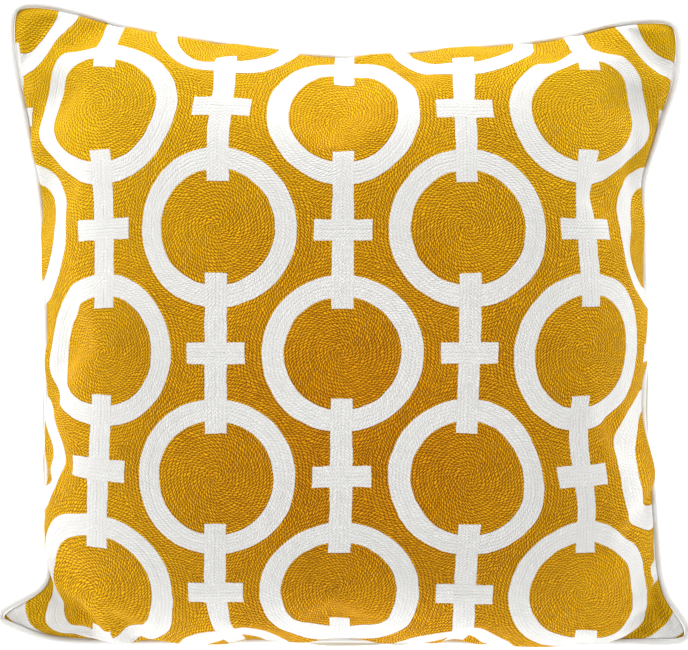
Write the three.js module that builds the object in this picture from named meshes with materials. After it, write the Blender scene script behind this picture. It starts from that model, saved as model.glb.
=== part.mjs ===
// A square throw cushion, lying on its back with its embroidered face up.
// The cover is two square panels sewn edge to edge round a soft filling, so it
// is one filled solid: crowned faces, drawn-in sides, four corner ears and a
// few soft folds. A corded piping is sewn into the seam all the way round.
//
// Millimetres. +Z is up, +X is to the right of the face and +Y is its top edge.
// The origin is on the surface below, under the middle of the cushion.

import * as THREE from "three";
import { mergeVertices } from "three/addons/utils/BufferGeometryUtils.js";

// The cover and its filling

const COVER = 508; // flat side of the square panels, seam to seam
const HALF = COVER / 2;
const SEAM_WIDE = 482.3; // box round the seam of the filled cushion
const SEAM_HIGH = 454.8;
const SEAM_LEVEL = 70; // height of the seam above the surface
const FRONT_CROWN = 86; // rise of the face above the seam
const BACK_CROWN = 86; // depth of the back below the seam, before it is pressed flat
const DOME = 0.45; // how much of the crown is a round dome rather than level cloth
const ALLOWANCE = 4; // half the thickness of the sewn edges just inside the seam
const ALLOWANCE_FADE = 30;
const FOLD_FADE = 24; // the folds fade out over this rise above the seam

// The piping

const PIPING = 4.5; // diameter
const PIPING_SIDES = 8;
const SEAT = 0.3; // clearance between the piping and the cover

// The middle of the panels and how the middle lines lean, in millimetres

const MIDDLE = { x: -1.4, y: -19.3, leanX: 2, leanY: 0.3 };

// How far each side of the seam lies inside its box. "along" is the share of
// the side, from its left or upper end, and "inset" is in millimetres.

const DRAWN_IN = {
  top: [
    { along: 0, inset: -5 },
    { along: 0.07, inset: 1 },
    { along: 0.18, inset: 15.5 },
    { along: 0.32, inset: 27.5 },
    { along: 0.5, inset: 37 },
    { along: 0.66, inset: 31.5 },
    { along: 0.8, inset: 25 },
    { along: 0.92, inset: 12 },
    { along: 1, inset: 8 },
  ],
  bottom: [
    { along: 0, inset: 6 },
    { along: 0.05, inset: 1.5 },
    { along: 0.2, inset: 2.5 },
    { along: 0.5, inset: 4.5 },
    { along: 0.66, inset: 3.2 },
    { along: 0.8, inset: 1.6 },
    { along: 1, inset: 3.5 },
  ],
  left: [
    { along: 0, inset: 1 },
    { along: 0.07, inset: 5 },
    { along: 0.17, inset: 15 },
    { along: 0.3, inset: 26.5 },
    { along: 0.5, inset: 30.5 },
    { along: 0.7, inset: 31 },
    { along: 1, inset: 31.5 },
  ],
  right: [
    { along: 0, inset: 0 },
    { along: 0.08, inset: 4 },
    { along: 0.17, inset: 17.5 },
    { along: 0.26, inset: 29 },
    { along: 0.5, inset: 28 },
    { along: 0.6, inset: 29.5 },
    { along: 0.72, inset: 22.5 },
    { along: 0.88, inset: 17 },
    { along: 1, inset: 13 },
  ],
};

// How the face turns down towards each side: "level" is the share of the half
// panel that stays level, and "power" is how late the rest turns upright.

const TURN = {
  left: { level: 0.25, power: 2.2 },
  right: { level: 0.25, power: 2.2 },
  top: { level: 0.3, power: 2.4 },
  bottom: { level: 0.2, power: 1.9 },
};

// How soon the turn eases off towards the corners, where the panels lie flatter

const EASE = { left: 3, right: 4, top: 2, bottom: 6 };

// Where the face bulges over the seam and hides it: the depth of the tuck in
// millimetres, and its two ends along the side, from -1 to 1

const TUCK = {
  left: { depth: 6.3, from: -0.86, to: 0.72 },
  right: { depth: 6.3, from: -0.55, to: 0.7 },
  top: { depth: 4.2, from: -0.8, to: 0.8 },
  bottom: { depth: 6.8, from: -0.84, to: 0.9 },
};
const TUCK_START = 0.955; // share of the half panel where the cloth starts to turn in
const TUCK_FADE = 0.16;

// The four corners: which one, how much the seam is rounded there, how far the
// ear flicks out and up, the reach of the flick, and how far the ear hangs

const CORNERS = [
  { x: -1, y: 1, rounding: 0.026, out: 0, up: 0, reach: 0.1, hang: 5 },
  { x: 1, y: 1, rounding: 0.024, out: 0, up: 0, reach: 0.1, hang: 4 },
  { x: -1, y: -1, rounding: 0.017, out: 42, up: 9, reach: 0.1, hang: 9 },
  { x: 1, y: -1, rounding: 0.016, out: 21, up: -3, reach: 0.12, hang: 7 },
];
const FLICK_FADE = 5;
const HANG_REACH = 0.5;

// The main folds of the face. "x" and "y" are on the flat panel, from its
// middle, "long" and "wide" are the reach of the fold along and across "turn"
// degrees, "pushX" and "pushY" shift the cloth, and "sink" lowers it.

const FOLDS = [
  { x: -206, y: 196, turn: -52, long: 46, wide: 15, pushX: 0, pushY: 0, sink: 7 },
  { x: -226, y: 128, turn: 70, long: 34, wide: 13, pushX: 2, pushY: 0, sink: 4 },
  { x: 4, y: 214, turn: 80, long: 26, wide: 17, pushX: 0, pushY: -4, sink: 6 },
  { x: 206, y: 204, turn: 50, long: 44, wide: 14, pushX: 0, pushY: 0, sink: 6 },
  { x: 226, y: 140, turn: 105, long: 32, wide: 12, pushX: -2, pushY: 0, sink: 4 },
  { x: -214, y: -12, turn: 75, long: 34, wide: 16, pushX: 5, pushY: 0, sink: 5 },
  { x: -212, y: -176, turn: 30, long: 36, wide: 13, pushX: 3, pushY: 1, sink: 6 },
  { x: 214, y: -188, turn: -40, long: 40, wide: 14, pushX: 0, pushY: 0, sink: 5 },
];

// Fineness of the meshes

const CELLS = 40; // along each side of a panel
const GRADING = 1.45; // crowds the cells towards the seam
const PROFILE_STEPS = 200;
const LOOK_ASIDE = 0.1; // share of a cell that tells which way the seam runs
const WELD = 0.03; // points nearer than this are one point

// Curves

function smooth(t) {
  const s = Math.min(1, Math.max(0, t));
  return s * s * (3 - 2 * s);
}

// A monotone cubic through the rows of one side of the seam
function insetAt(rows, along) {
  const slopes = [];
  for (let i = 0; i + 1 < rows.length; i++) {
    const rise = rows[i + 1].inset - rows[i].inset;
    slopes.push(rise / (rows[i + 1].along - rows[i].along));
  }
  const tangent = (i) => {
    if (i === 0) return slopes[0];
    if (i === rows.length - 1) return slopes[i - 1];
    const before = slopes[i - 1];
    const after = slopes[i];
    if (before * after <= 0) return 0;
    const spanBefore = rows[i].along - rows[i - 1].along;
    const spanAfter = rows[i + 1].along - rows[i].along;
    const first = 2 * spanAfter + spanBefore;
    const second = spanAfter + 2 * spanBefore;
    return (first + second) / (first / before + second / after);
  };
  let i = 0;
  while (i + 2 < rows.length && along > rows[i + 1].along) i++;
  const span = rows[i + 1].along - rows[i].along;
  const t = Math.min(1, Math.max(0, (along - rows[i].along) / span));
  const t2 = t * t;
  const t3 = t2 * t;
  return (
    (2 * t3 - 3 * t2 + 1) * rows[i].inset +
    (t3 - 2 * t2 + t) * span * tangent(i) +
    (3 * t2 - 2 * t3) * rows[i + 1].inset +
    (t3 - t2) * span * tangent(i + 1)
  );
}

// The section of the face from the middle to one side, as a cloth of fixed
// length that turns from level to upright: how far out it has come, and how
// much of its crown is left, at each step of its length
function section({ level, power }) {
  const out = [0];
  const down = [0];
  for (let i = 0; i < PROFILE_STEPS; i++) {
    const share = (i + 0.5) / PROFILE_STEPS;
    const turned = Math.max(0, (share - level) / (1 - level)) ** power;
    const tilt = (Math.PI / 2) * turned;
    out.push(out[i] + Math.cos(tilt));
    down.push(down[i] + Math.sin(tilt));
  }
  const allOut = out[PROFILE_STEPS];
  const allDown = down[PROFILE_STEPS];
  return {
    out: out.map((value) => value / allOut),
    crown: down.map((value, i) => {
      const share = i / PROFILE_STEPS;
      return (1 - DOME) * (1 - value / allDown) + DOME * (1 - share * share);
    }),
  };
}

const SECTIONS = {};
for (const side of Object.keys(TURN)) SECTIONS[side] = section(TURN[side]);

function readAt(list, share) {
  const place = share * PROFILE_STEPS;
  const i = Math.min(PROFILE_STEPS - 1, Math.floor(place));
  return list[i] + (list[i + 1] - list[i]) * (place - i);
}

// The seam and the panels. u and v run from -1 to 1 across the flat panel.

function tuckDepth(side, along) {
  const { depth, from, to } = TUCK[side];
  return depth * smooth((along - from) / TUCK_FADE) * smooth((to - along) / TUCK_FADE);
}

function tuckedShare(share) {
  return smooth((share - TUCK_START) / (1 - TUCK_START));
}

function cornerOf(u, v) {
  return CORNERS.find((corner) => corner.x * u >= 0 && corner.y * v >= 0);
}

// Pulls the tip of a corner in; a larger rounding also reaches further from it
function roundCorner(u, v) {
  const { rounding } = cornerOf(u, v);
  const sharpness = 1 / (2 * rounding);
  const pull = rounding * Math.abs(u * v) ** sharpness;
  return [u - Math.sign(u) * pull, v - Math.sign(v) * pull];
}

// Where a point of the panel lies, seen from above
function plan(u, v) {
  const sideX = u < 0 ? "left" : "right";
  const sideY = v < 0 ? "bottom" : "top";
  const shareX = Math.abs(u);
  const shareY = Math.abs(v);

  const insetX = insetAt(DRAWN_IN[sideX], (1 - v) / 2);
  const insetY = insetAt(DRAWN_IN[sideY], (1 + u) / 2);
  const tuckX = tuckDepth(sideX, v);
  const tuckY = tuckDepth(sideY, u);
  const edgeX = Math.sign(u || 1) * (SEAM_WIDE / 2 - insetX + tuckX);
  const edgeY = Math.sign(v || 1) * (SEAM_HIGH / 2 - insetY + tuckY);

  const easeX = shareY ** EASE[sideY];
  const easeY = shareX ** EASE[sideX];
  const outX = readAt(SECTIONS[sideX].out, shareX) * (1 - easeX) + shareX * easeX;
  const outY = readAt(SECTIONS[sideY].out, shareY) * (1 - easeY) + shareY * easeY;

  const middleX = MIDDLE.x + MIDDLE.leanX * v;
  const middleY = MIDDLE.y + MIDDLE.leanY * u;
  let x = middleX + (edgeX - middleX) * outX;
  let y = middleY + (edgeY - middleY) * outY;
  x -= Math.sign(u) * tuckX * tuckedShare(shareX);
  y -= Math.sign(v) * tuckY * tuckedShare(shareY);

  const corner = cornerOf(u, v);
  const nearY = Math.exp(-(((1 - shareY) / corner.reach) ** 2));
  const nearX = Math.exp(-(((1 - shareX) / corner.reach) ** 2));
  x += corner.x * corner.out * nearY * shareX ** FLICK_FADE;
  y += corner.up * nearX * shareY ** FLICK_FADE;
  return [x, y];
}

function seamLevel(u, v) {
  let level = SEAM_LEVEL;
  for (const corner of CORNERS) {
    const away = Math.hypot(u - corner.x, v - corner.y) / HANG_REACH;
    level -= corner.hang * Math.exp(-away * away);
  }
  return level;
}

// The share of the crown that is left at a point of the panel
function crownShare(u, v) {
  const acrossX = readAt(SECTIONS[u < 0 ? "left" : "right"].crown, Math.abs(u));
  const acrossY = readAt(SECTIONS[v < 0 ? "bottom" : "top"].crown, Math.abs(v));
  return acrossX * acrossY;
}

function allowance(u, v) {
  const insideX = 1 - Math.abs(u) ** ALLOWANCE_FADE;
  const insideY = 1 - Math.abs(v) ** ALLOWANCE_FADE;
  return ALLOWANCE * insideX * insideY;
}

// The push and the sink of all the folds at a point of the flat panel
function folded(u, v) {
  const total = { x: 0, y: 0, sink: 0 };
  for (const fold of FOLDS) {
    const dx = u * HALF - fold.x;
    const dy = v * HALF - fold.y;
    const turn = THREE.MathUtils.degToRad(fold.turn);
    const along = (dx * Math.cos(turn) + dy * Math.sin(turn)) / fold.long;
    const across = (dy * Math.cos(turn) - dx * Math.sin(turn)) / fold.wide;
    const weight = Math.exp(-along * along - across * across);
    total.x += fold.pushX * weight;
    total.y += fold.pushY * weight;
    total.sink += fold.sink * weight;
  }
  return total;
}

function frontPoint(gridU, gridV) {
  const [u, v] = roundCorner(gridU, gridV);
  const [x, y] = plan(u, v);
  const rise = FRONT_CROWN * crownShare(gridU, gridV) + allowance(gridU, gridV);
  const fold = folded(u, v);
  const loose = smooth(rise / FOLD_FADE);
  return [
    x + fold.x * loose,
    y + fold.y * loose,
    seamLevel(u, v) + rise - fold.sink * loose,
  ];
}

function backPoint(gridU, gridV) {
  const [u, v] = roundCorner(gridU, gridV);
  const [x, y] = plan(u, v);
  const depth = BACK_CROWN * crownShare(gridU, gridV) + allowance(gridU, gridV);
  return [x, y, Math.max(0, seamLevel(u, v) - depth)];
}

// The meshes

function gridPlace(i) {
  const t = -1 + (2 * i) / CELLS;
  return t * (GRADING - (GRADING - 1) * t * t);
}

// One face of the cushion; the back is wound the other way round
function panel(pointAt, flipped, positions, indices) {
  const first = positions.length / 3;
  for (let j = 0; j <= CELLS; j++) {
    for (let i = 0; i <= CELLS; i++) positions.push(...pointAt(gridPlace(i), gridPlace(j)));
  }
  for (let j = 0; j < CELLS; j++) {
    for (let i = 0; i < CELLS; i++) {
      const a = first + j * (CELLS + 1) + i;
      const b = a + 1;
      const c = a + CELLS + 1;
      const d = c + 1;
      // The diagonals run towards the corners, so that the ears stay whole
      const leaning = (i < CELLS / 2) === (j < CELLS / 2);
      const faces = leaning ? [[a, b, d], [a, d, c]] : [[a, b, c], [b, d, c]];
      for (const face of faces) indices.push(...(flipped ? face.reverse() : face));
    }
  }
}

function filledCover() {
  const positions = [];
  const indices = [];
  panel(frontPoint, false, positions, indices);
  panel(backPoint, true, positions, indices);
  const geometry = new THREE.BufferGeometry();
  geometry.setAttribute("position", new THREE.Float32BufferAttribute(positions, 3));
  geometry.setIndex(indices);
  return mergeVertices(geometry);
}

// The middle line of the piping, just outside the seam. Its steps match the
// cells of the panels, so that the clearance stays even round the corners.
class SeamLine extends THREE.Curve {
  // t runs once round the seam, anticlockwise seen from above
  gridPoint(t) {
    const place = (((t % 1) + 1) % 1) * 4;
    const side = Math.floor(place);
    const along = gridPlace((place - side) * CELLS);
    return [[along, -1], [1, along], [-along, 1], [-1, -along]][side];
  }

  seamPoint(t) {
    const [u, v] = roundCorner(...this.gridPoint(t));
    const [x, y] = plan(u, v);
    return new THREE.Vector3(x, y, seamLevel(u, v));
  }

  getPoint(t) {
    const nudge = LOOK_ASIDE / (4 * CELLS);
    const ahead = this.seamPoint(t + nudge);
    const behind = this.seamPoint(t - nudge);
    const outward = new THREE.Vector3(ahead.y - behind.y, behind.x - ahead.x, 0).normalize();
    return this.seamPoint(t).addScaledVector(outward, PIPING / 2 + SEAT);
  }

  getPointAt(t) {
    return this.getPoint(t);
  }

  getTangentAt(t) {
    return this.getTangent(t);
  }
}

function pipingLoop() {
  const tube = new THREE.TubeGeometry(new SeamLine(), 4 * CELLS, PIPING / 2, PIPING_SIDES, true);
  tube.deleteAttribute("normal");
  tube.deleteAttribute("uv");
  return mergeVertices(tube, WELD);
}

// The cushion

const embroidery = new THREE.MeshStandardMaterial({ color: 0xcf9a22, roughness: 0.85, metalness: 0 });
const offWhite = new THREE.MeshStandardMaterial({ color: 0xf1efe9, roughness: 0.9, metalness: 0 });

const cover = new THREE.Mesh(filledCover(), embroidery);
cover.name = "filled_cover";

const piping = new THREE.Mesh(pipingLoop(), offWhite);
piping.name = "piping";

const group = new THREE.Group();
group.add(cover, piping);

// The middle of the cushion's box comes over the origin
const box = new THREE.Box3().setFromObject(group);
const middle = box.getCenter(new THREE.Vector3());
group.position.set(-middle.x, -middle.y, 0);

export default group;
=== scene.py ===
# %% [markdown]
# # An embroidered throw cushion
# This lesson dresses a packed construction model of a square throw cushion. The
# cushion lies on its back. Its face is worked all over in chain stitch, in
# mustard yellow and off-white, its back is plain unbleached cotton, and a white
# corded piping is sewn into the seam between the two.
# The steps: load the model, set the camera, shape and inflate the cloth, make
# the piping, build the finishes, then light it.

# %% Load the frame
import math

import bpy
import numpy as np
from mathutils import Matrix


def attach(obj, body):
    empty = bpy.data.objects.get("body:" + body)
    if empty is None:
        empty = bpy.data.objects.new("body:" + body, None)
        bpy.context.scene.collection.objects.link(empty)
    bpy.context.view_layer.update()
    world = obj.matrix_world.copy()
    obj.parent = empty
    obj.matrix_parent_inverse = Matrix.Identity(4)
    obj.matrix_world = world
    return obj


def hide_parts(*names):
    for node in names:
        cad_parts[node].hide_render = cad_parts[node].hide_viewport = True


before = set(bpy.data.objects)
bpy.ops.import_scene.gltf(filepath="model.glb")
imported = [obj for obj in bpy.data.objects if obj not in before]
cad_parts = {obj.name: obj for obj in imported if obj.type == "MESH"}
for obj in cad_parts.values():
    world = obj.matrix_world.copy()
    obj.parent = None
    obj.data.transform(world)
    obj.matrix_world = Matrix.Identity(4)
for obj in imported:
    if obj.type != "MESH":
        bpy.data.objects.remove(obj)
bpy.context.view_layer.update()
scene = bpy.context.scene
MM = 0.001

# %% [markdown]
# ## The camera
# The cushion was photographed face on from a few steps away, with a long lens,
# so nothing looks stretched. The cushion lies on its back here, so the camera
# looks straight down at it, and the photograph's top edge is towards +Y.
# The lens follows from two real sizes: how far away the seam is, and how wide
# the view is there.

# %% Set the camera
SEAM_HEIGHT = 70 * MM
CAMERA_ABOVE_SEAM = 2200 * MM
VIEW_WIDTH_AT_SEAM = 492.3 * MM
VIEW_MIDDLE = (-0.38 * MM, -0.94 * MM)
SENSOR_WIDTH = 36.0

camera = bpy.data.objects.new("camera", bpy.data.cameras.new("camera"))
scene.collection.objects.link(camera)
camera.location = (*VIEW_MIDDLE, SEAM_HEIGHT + CAMERA_ABOVE_SEAM)
camera.data.sensor_width = SENSOR_WIDTH
camera.data.lens = SENSOR_WIDTH * CAMERA_ABOVE_SEAM / VIEW_WIDTH_AT_SEAM
scene.camera = camera
print("lens in mm:", round(camera.data.lens, 1))

# %% [markdown]
# ## The cloth before it is filled
# A cushion cover is cut as two flat squares. When it is filled, its sides draw
# in, because the cloth that rises over the filling is missing from the width.
# The corners keep their full reach and stand out as ears.
# How far each side draws in is read off the cushion in a few places, and a
# smooth curve through those places gives the rest. Any place on the flat square
# is named by u and v, which run from -1 to 1.

# %% Sizes of the cover
COVER = 508.0 * MM
HALF = COVER / 2
SEAM_WIDE = 482.3 * MM
SEAM_HIGH = 454.8 * MM
BOX_MIDDLE = (0.38 * MM, 0.94 * MM)
FRONT_CROWN = 86 * MM
BACK_CROWN = 86 * MM
DOME = 0.45
ALLOWANCE = 3.4 * MM
ALLOWANCE_FADE = 30

# each row: share of the way along the side, and how far the seam lies inside
DRAWN_IN = {
    "top": [
        (0, -5), (0.07, 1), (0.18, 15.5), (0.32, 27.5), (0.5, 37),
        (0.66, 31.5), (0.8, 25), (0.92, 12), (1, 8),
    ],
    "bottom": [
        (0, 6), (0.05, 1.5), (0.2, 2.5), (0.5, 4.5), (0.66, 3.2), (0.8, 1.6), (1, 3.5),
    ],
    "left": [
        (0, 1), (0.07, 5), (0.17, 15), (0.3, 26.5), (0.5, 30.5), (0.7, 31), (1, 31.5),
    ],
    "right": [
        (0, 0), (0.08, 4), (0.17, 17.5), (0.26, 29), (0.5, 28),
        (0.6, 29.5), (0.72, 22.5), (0.88, 17), (1, 13),
    ],
}

# the middle of the panels, and how the middle lines lean, in millimetres
MIDDLE = {"x": -1.4, "y": -19.3, "lean_x": 2.0, "lean_y": 0.3}

# how the face turns down: the share that stays level, and how late it turns
TURN = {"left": (0.25, 2.2), "right": (0.25, 2.2), "top": (0.3, 2.4), "bottom": (0.2, 1.9)}

# how close to a side the cloth evens out again; a larger number is closer
EASE = {"left": 3, "right": 4, "top": 2, "bottom": 6}

# where the face bulges over the seam: depth in millimetres, from and to
TUCK = {
    "left": (6.3, -0.86, 0.72),
    "right": (6.3, -0.55, 0.7),
    "top": (4.2, -0.8, 0.8),
    "bottom": (6.8, -0.84, 0.9),
}
TUCK_START = 0.955
TUCK_FADE = 0.16

# the four corners: how round each is, how far it is flicked out and up over
# its reach, and how far it hangs; out, up and hang are in millimetres
CORNERS = [
    {"x": -1, "y": 1, "rounding": 0.026, "out": 0, "up": 0, "reach": 0.1, "hang": 5},
    {"x": 1, "y": 1, "rounding": 0.024, "out": 0, "up": 0, "reach": 0.1, "hang": 4},
    {"x": -1, "y": -1, "rounding": 0.017, "out": 42, "up": 9, "reach": 0.1, "hang": 9},
    {"x": 1, "y": -1, "rounding": 0.016, "out": 21, "up": -3, "reach": 0.12, "hang": 7},
]
FLICK_FADE = 5
HANG_REACH = 0.5
print("flat cover:", round(COVER / MM), "mm a side, filled:", round(SEAM_WIDE / MM), "mm across")

# %% [markdown]
# ## Curves for the sides and the crown
# Two kinds of curve shape the panels. One runs along each side and says how far
# the seam draws in there. The other is a section of the face: level in the
# middle, then turning down more and more until it is upright at the seam, as
# cloth over a filling does. Both are plain number functions, so any mesh can
# follow them, coarse or fine.

# %% Curves that the panels follow
PROFILE_STEPS = 400


def smooth(t):
    """0 up to 0 and 1 from 1 on, with a soft rise between."""
    t = np.clip(t, 0, 1)
    return t * t * (3 - 2 * t)


def smooth_curve(rows):
    """A curve through the rows that never swings past them."""
    x = np.array([row[0] for row in rows], float)
    y = np.array([row[1] for row in rows], float) * MM
    span = np.diff(x)
    slope = np.diff(y) / span
    tangent = np.zeros(len(x))
    tangent[0], tangent[-1] = slope[0], slope[-1]
    for i in range(1, len(x) - 1):
        if slope[i - 1] * slope[i] > 0:
            first = 2 * span[i] + span[i - 1]
            second = span[i] + 2 * span[i - 1]
            tangent[i] = (first + second) / (first / slope[i - 1] + second / slope[i])

    def at(along):
        i = np.clip(np.searchsorted(x, along, side="right") - 1, 0, len(span) - 1)
        t = np.clip((along - x[i]) / span[i], 0, 1)
        rise = (3 - 2 * t) * t * t
        lead = t * (1 - t) ** 2 * span[i] * tangent[i]
        tail = t * t * (t - 1) * span[i] * tangent[i + 1]
        return y[i] + rise * (y[i + 1] - y[i]) + lead + tail

    return at


def section(level, power):
    """Half a section of the face: how far out, and how much crown is left."""
    share = (np.arange(PROFILE_STEPS) + 0.5) / PROFILE_STEPS
    tilt = math.pi / 2 * np.maximum(0, (share - level) / (1 - level)) ** power
    out = np.concatenate([[0], np.cumsum(np.cos(tilt))])
    down = np.concatenate([[0], np.cumsum(np.sin(tilt))])
    steps = np.linspace(0, 1, PROFILE_STEPS + 1)
    crown = (1 - DOME) * (1 - down / down[-1]) + DOME * (1 - steps**2)
    return steps, out / out[-1], crown


inset_of = {side: smooth_curve(rows) for side, rows in DRAWN_IN.items()}
section_of = {side: section(*TURN[side]) for side in TURN}
top_inset = float(inset_of["top"](np.array(0.5))) / MM
print("the top side draws in by", round(top_inset, 1), "mm at its middle")

# %% [markdown]
# ## From the flat square to the filled shape
# Each point of the flat square now gets its place in the filled cushion. Seen
# from above it moves in with its sides, and near a corner it follows the flicked
# ear. Its height is the seam's, plus its share of the crown on the front, or less
# that share on the back, where the floor holds it up.

# %% Where each point of the panels goes


def by_side(sides, negative, function):
    """Picks a function's value for each point by the side it is on."""
    return np.where(negative, function(sides[0]), function(sides[1]))


def tuck_depth(side, along):
    """How far the face bulges over the seam, along one side."""
    depth, start, end = TUCK[side]
    fade = smooth((along - start) / TUCK_FADE) * smooth((end - along) / TUCK_FADE)
    return depth * MM * fade


def corner_values(u, v, key):
    """For each point, one value of the corner in its quarter of the square."""
    value = np.zeros(np.shape(u))
    for corner in CORNERS:
        here = (corner["x"] * u >= 0) & (corner["y"] * v >= 0)
        value = np.where(here, corner[key], value)
    return value


def round_corner(u, v):
    """Pulls the square in at its very corners, which a sewn seam can't turn sharply."""
    rounding = corner_values(u, v, "rounding")
    pull = rounding * np.abs(u * v) ** (1 / (2 * rounding))
    return u - np.sign(u) * pull, v - np.sign(v) * pull


def plan(u, v):
    """Where a point of either panel lies, seen from above."""
    across, upright = ("left", "right"), ("bottom", "top")
    share_x, share_y = np.abs(u), np.abs(v)
    inset_x = by_side(across, u < 0, lambda side: inset_of[side]((1 - v) / 2))
    inset_y = by_side(upright, v < 0, lambda side: inset_of[side]((1 + u) / 2))
    tuck_x = by_side(across, u < 0, lambda side: tuck_depth(side, v))
    tuck_y = by_side(upright, v < 0, lambda side: tuck_depth(side, u))
    side_x, side_y = np.where(u < 0, -1, 1), np.where(v < 0, -1, 1)
    edge_x = side_x * (SEAM_WIDE / 2 - inset_x + tuck_x)
    edge_y = side_y * (SEAM_HIGH / 2 - inset_y + tuck_y)

    ease_x = by_side(upright, v < 0, lambda side: share_y ** EASE[side])
    ease_y = by_side(across, u < 0, lambda side: share_x ** EASE[side])
    curve_x = by_side(across, u < 0, lambda side: np.interp(share_x, *section_of[side][:2]))
    curve_y = by_side(upright, v < 0, lambda side: np.interp(share_y, *section_of[side][:2]))
    out_x = curve_x * (1 - ease_x) + share_x * ease_x
    out_y = curve_y * (1 - ease_y) + share_y * ease_y

    middle_x = (MIDDLE["x"] + MIDDLE["lean_x"] * v) * MM
    middle_y = (MIDDLE["y"] + MIDDLE["lean_y"] * u) * MM
    turned_in_x = smooth((share_x - TUCK_START) / (1 - TUCK_START))
    turned_in_y = smooth((share_y - TUCK_START) / (1 - TUCK_START))
    x = middle_x + (edge_x - middle_x) * out_x - np.sign(u) * tuck_x * turned_in_x
    y = middle_y + (edge_y - middle_y) * out_y - np.sign(v) * tuck_y * turned_in_y

    reach = corner_values(u, v, "reach")
    out, up = corner_values(u, v, "out"), corner_values(u, v, "up")
    x += side_x * out * MM * np.exp(-(((1 - share_y) / reach) ** 2)) * share_x**FLICK_FADE
    y += up * MM * np.exp(-(((1 - share_x) / reach) ** 2)) * share_y**FLICK_FADE
    return x - BOX_MIDDLE[0], y - BOX_MIDDLE[1]


def seam_level(u, v):
    """The seam's height, a little lower where the corners hang."""
    level = np.full(np.shape(u), SEAM_HEIGHT)
    for corner in CORNERS:
        away = np.hypot(u - corner["x"], v - corner["y"]) / HANG_REACH
        level -= corner["hang"] * MM * np.exp(-(away**2))
    return level


def crown_share(u, v):
    """How much of the crown stands at a point: 1 in the middle, 0 at the seam."""

    def left_with(side, share):
        steps, _, crown = section_of[side]
        return np.interp(share, steps, crown)

    left_right = by_side(("left", "right"), u < 0, lambda side: left_with(side, np.abs(u)))
    down_up = by_side(("bottom", "top"), v < 0, lambda side: left_with(side, np.abs(v)))
    return left_right * down_up


def allowance(u, v):
    """Half the thickness of the sewn edges, which fades out at the seam."""
    return ALLOWANCE * (1 - np.abs(u) ** ALLOWANCE_FADE) * (1 - np.abs(v) ** ALLOWANCE_FADE)


def panel_points(grid_u, grid_v, front):
    """The points of the front or the back panel; nothing goes below the floor."""
    u, v = round_corner(grid_u, grid_v)
    x, y = plan(u, v)
    crown, edge = crown_share(grid_u, grid_v), allowance(grid_u, grid_v)
    if front:
        z = seam_level(u, v) + FRONT_CROWN * crown + edge
    else:
        z = seam_level(u, v) - BACK_CROWN * crown - edge
    return np.stack([x, y, np.maximum(0, z)], axis=-1)


# %% [markdown]
# ## One closed mesh for the cover
# The front and the back are two grids that share the points of the seam, so the
# cover is one closed body, which the cloth simulation can blow up like a
# balloon. Each point also remembers its place on the flat cloth, in an
# attribute. The stitches are drawn from that place later, so they bend and
# crowd with the cloth and don't depend on an unwrap.

# %% Build the cover's mesh
CELLS = 110
GRADING = 1.25
TINY = 1e-9


def cover_mesh(cells):
    """Points, faces, flat places, which faces are the back's, and the seam."""
    side = cells + 1
    even = np.linspace(-1, 1, side)
    closer_at_seam = even * (GRADING - (GRADING - 1) * even**2)
    grid_v, grid_u = np.meshgrid(closer_at_seam, closer_at_seam, indexing="ij")
    front = panel_points(grid_u, grid_v, True).reshape(-1, 3)
    back = panel_points(grid_u, grid_v, False).reshape(-1, 3)
    flat = np.stack([grid_u, grid_v], axis=-1).reshape(-1, 2)
    on_seam = (np.abs(flat) > 1 - TINY).any(axis=1)

    number = np.arange(side * side)
    back_number = np.where(on_seam, number, 0)
    back_number[~on_seam] = side * side + np.arange((~on_seam).sum())
    points = np.concatenate([front, back[~on_seam]])
    places = np.concatenate([flat, flat[~on_seam]])

    corner = (np.arange(cells)[:, None] * side + np.arange(cells)).ravel()
    quads = np.stack([corner, corner + 1, corner + side + 1, corner + side], axis=1)
    faces = np.concatenate([quads, back_number[quads[:, ::-1]]])
    is_back = np.arange(len(faces)) >= len(quads)
    return points, faces, places, is_back, number[on_seam]


def add_piece(name, points, faces):
    piece = bpy.data.objects.new(name, bpy.data.meshes.new(name))
    piece.data.from_pydata(points.tolist(), [], faces.tolist())
    scene.collection.objects.link(piece)
    return piece


points, faces, places, is_back, seam_numbers = cover_mesh(CELLS)
cover = add_piece("cushion_cover", points, faces)
print("points:", len(points), "faces:", len(faces), "on the seam:", len(seam_numbers))

# %% [markdown]
# ## Filling it
# The shape so far is right in its outline but too even. A real cover has more
# cloth along its seam than the filled shape needs, and the spare cloth gathers
# in soft puckers square to the seam and in dents near the corners.
# A cloth simulation finds them. The cloth is told to grow by a few hundredths,
# which makes it spare, the seam and the part on the floor are held still, and a
# pressure inside stands for the filling. Such ripples are wide, so a coarse
# cover of 55 cells shows them all, and it simulates in seconds.

# %% Run the cloth on a coarse cover
COARSE_CELLS = 55
FRAMES = 20
GROWTH = 0.05
PRESSURE = 2.0
FLOOR_CONTACT = 0.2 * MM


def read_points(mesh):
    values = np.empty(len(mesh.vertices) * 3, np.float32)
    mesh.vertices.foreach_get("co", values)
    return values.reshape(-1, 3).astype(float)


def write_points(mesh, values):
    mesh.vertices.foreach_set("co", values.astype(np.float32).ravel())
    mesh.update()


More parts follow.
